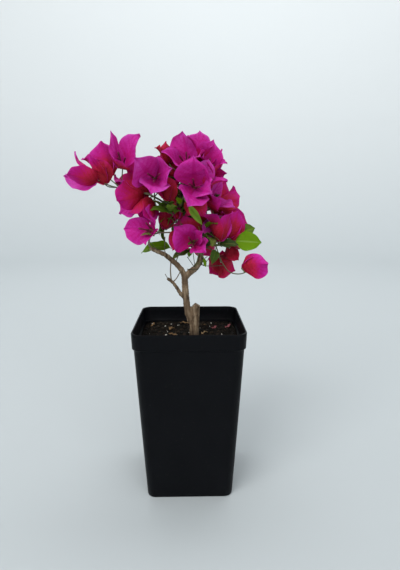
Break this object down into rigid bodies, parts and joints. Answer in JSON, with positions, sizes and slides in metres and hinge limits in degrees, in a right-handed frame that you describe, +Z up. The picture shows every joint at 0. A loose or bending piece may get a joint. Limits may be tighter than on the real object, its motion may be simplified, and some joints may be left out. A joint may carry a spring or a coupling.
{
  "type": "potted bougainvillea",
  "caption": "Small bougainvillea in flower, with magenta bracts on forked woody stems above a cut stump, in a tall tapered square black nursery pot.",
  "frame": {"origin": "middle of the pot's flat underside, which stands on the floor or table", "axes": "+Z up, -Y to the front, +X to the right of the view from the front, along the pot's front side"},
  "size_m": [0.1815, 0.1, 0.3361],
  "materials": {
    "pot_plastic": "satin",
    "potting_soil": "matte",
    "bark": "matte",
    "green_stem": "satin",
    "leaf_green": "satin",
    "bract_magenta": "matte"
  },
  "bodies": {
    "root": {"pot": "pot_plastic", "soil": "potting_soil", "trunk": "bark", "bough_right": "bark", "bough_upper": "bark", "bough_left": "bark", "bough_side": "bark", "shoot_left": "green_stem", "stalk_far_left": "green_stem", "twig_far_right": "green_stem", "core_leaves": "leaf_green", "inner_left_spray": "leaf_green", "far_left_spray": "bract_magenta", "left_spray": "bract_magenta", "upper_left_spray": "bract_magenta", "top_spray": "bract_magenta", "top_right_spray": "bract_magenta", "centre_spray": "bract_magenta", "right_spray": "bract_magenta", "right_shoulder_spray": "bract_magenta", "low_left_spray": "bract_magenta", "front_spray": "bract_magenta", "low_right_spray": "bract_magenta", "far_right_spray": "bract_magenta", "right_leaves": "leaf_green", "low_left_leaves": "leaf_green", "back_top_spray": "bract_magenta", "back_right_spray": "bract_magenta", "back_centre_spray": "bract_magenta", "back_low_spray": "bract_magenta"}
  },
  "joints": []
}
